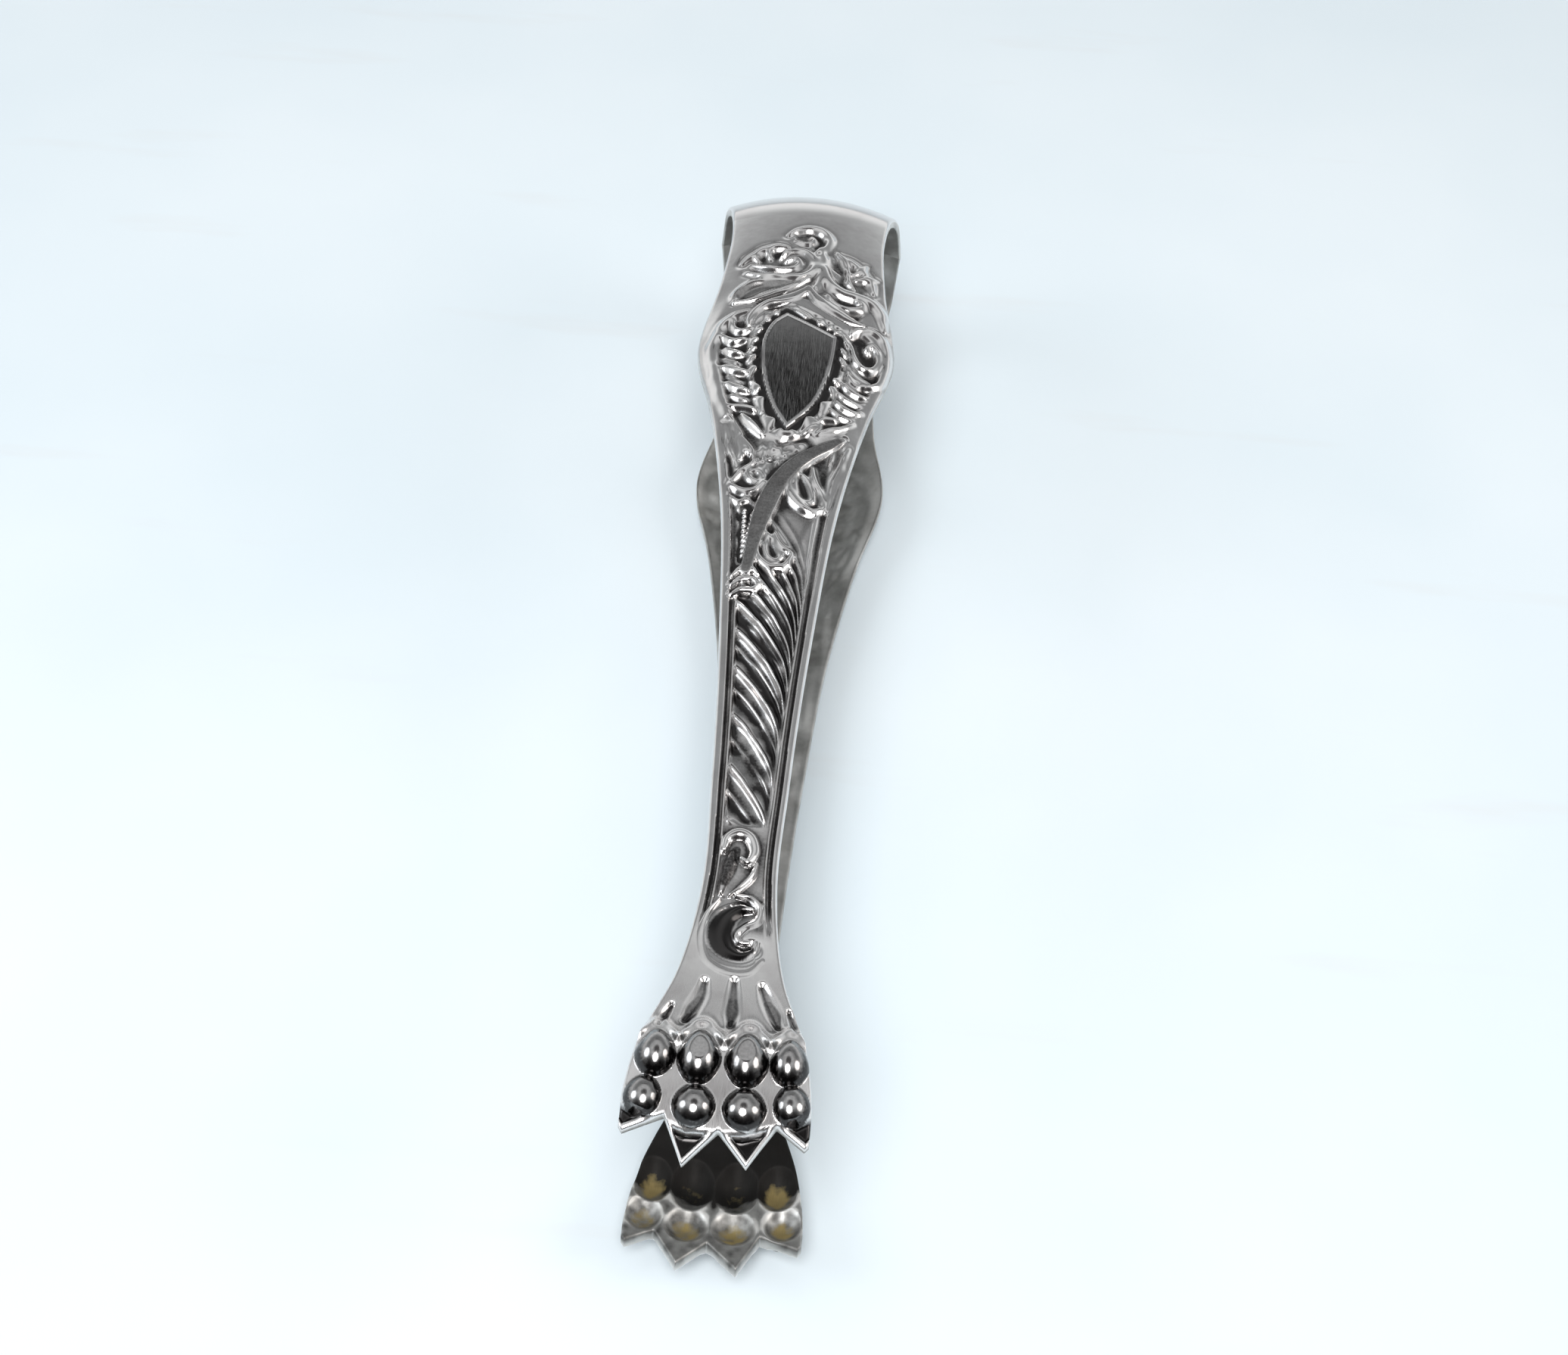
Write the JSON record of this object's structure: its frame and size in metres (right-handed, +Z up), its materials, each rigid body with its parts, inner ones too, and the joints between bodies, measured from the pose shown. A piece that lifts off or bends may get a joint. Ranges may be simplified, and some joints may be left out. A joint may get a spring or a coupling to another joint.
{
  "type": "ice tongs",
  "caption": "Claw-footed ice tongs: a sprung U-shaped strip of silver-plated metal with scroll-pressed arms and hollow knuckled claws that grip a cube.",
  "frame": {"origin": "centre of the bottom of the bounding box, on the surface that the tongs lie on", "axes": "+Z up, from the lower arm to the upper one; +Y along the tongs from the claws to the bow; +X across the strip"},
  "size_m": [0.021, 0.13, 0.0263],
  "materials": {
    "bright_silver": "hand-polished silver plate",
    "oxidised_silver": "pressed relief, dark in its recesses and buffed bright on its ridges",
    "worn_silver": "silver plate worn towards the base metal at the claws"
  },
  "bodies": {
    "lower_half": {"lower_bow_shoulder": "bright_silver", "lower_arm": "oxidised_silver", "lower_claw_foot": "worn_silver"},
    "bow": {"bow_crown": "bright_silver"},
    "upper_half": {"upper_bow_shoulder": "bright_silver", "upper_arm": "oxidised_silver", "upper_claw_foot": "worn_silver"}
  },
  "joints": [
    {"name": "lower_bow_flex", "type": "hinge", "parent": "lower_half", "child": "bow", "pos_m": [0, 0.05927, 0.00728], "axis": [1, 0, 0], "range_deg": [0, 3.6], "stiffness_Nm_per_rad": 6},
    {"name": "upper_bow_flex", "type": "hinge", "parent": "bow", "child": "upper_half", "pos_m": [0, 0.05927, 0.01902], "axis": [1, 0, 0], "range_deg": [0, 3.6], "stiffness_Nm_per_rad": 6}
  ],
  "couplings": [
    {"joint": "upper_bow_flex", "follows": "lower_bow_flex", "ratio": 1}
  ]
}
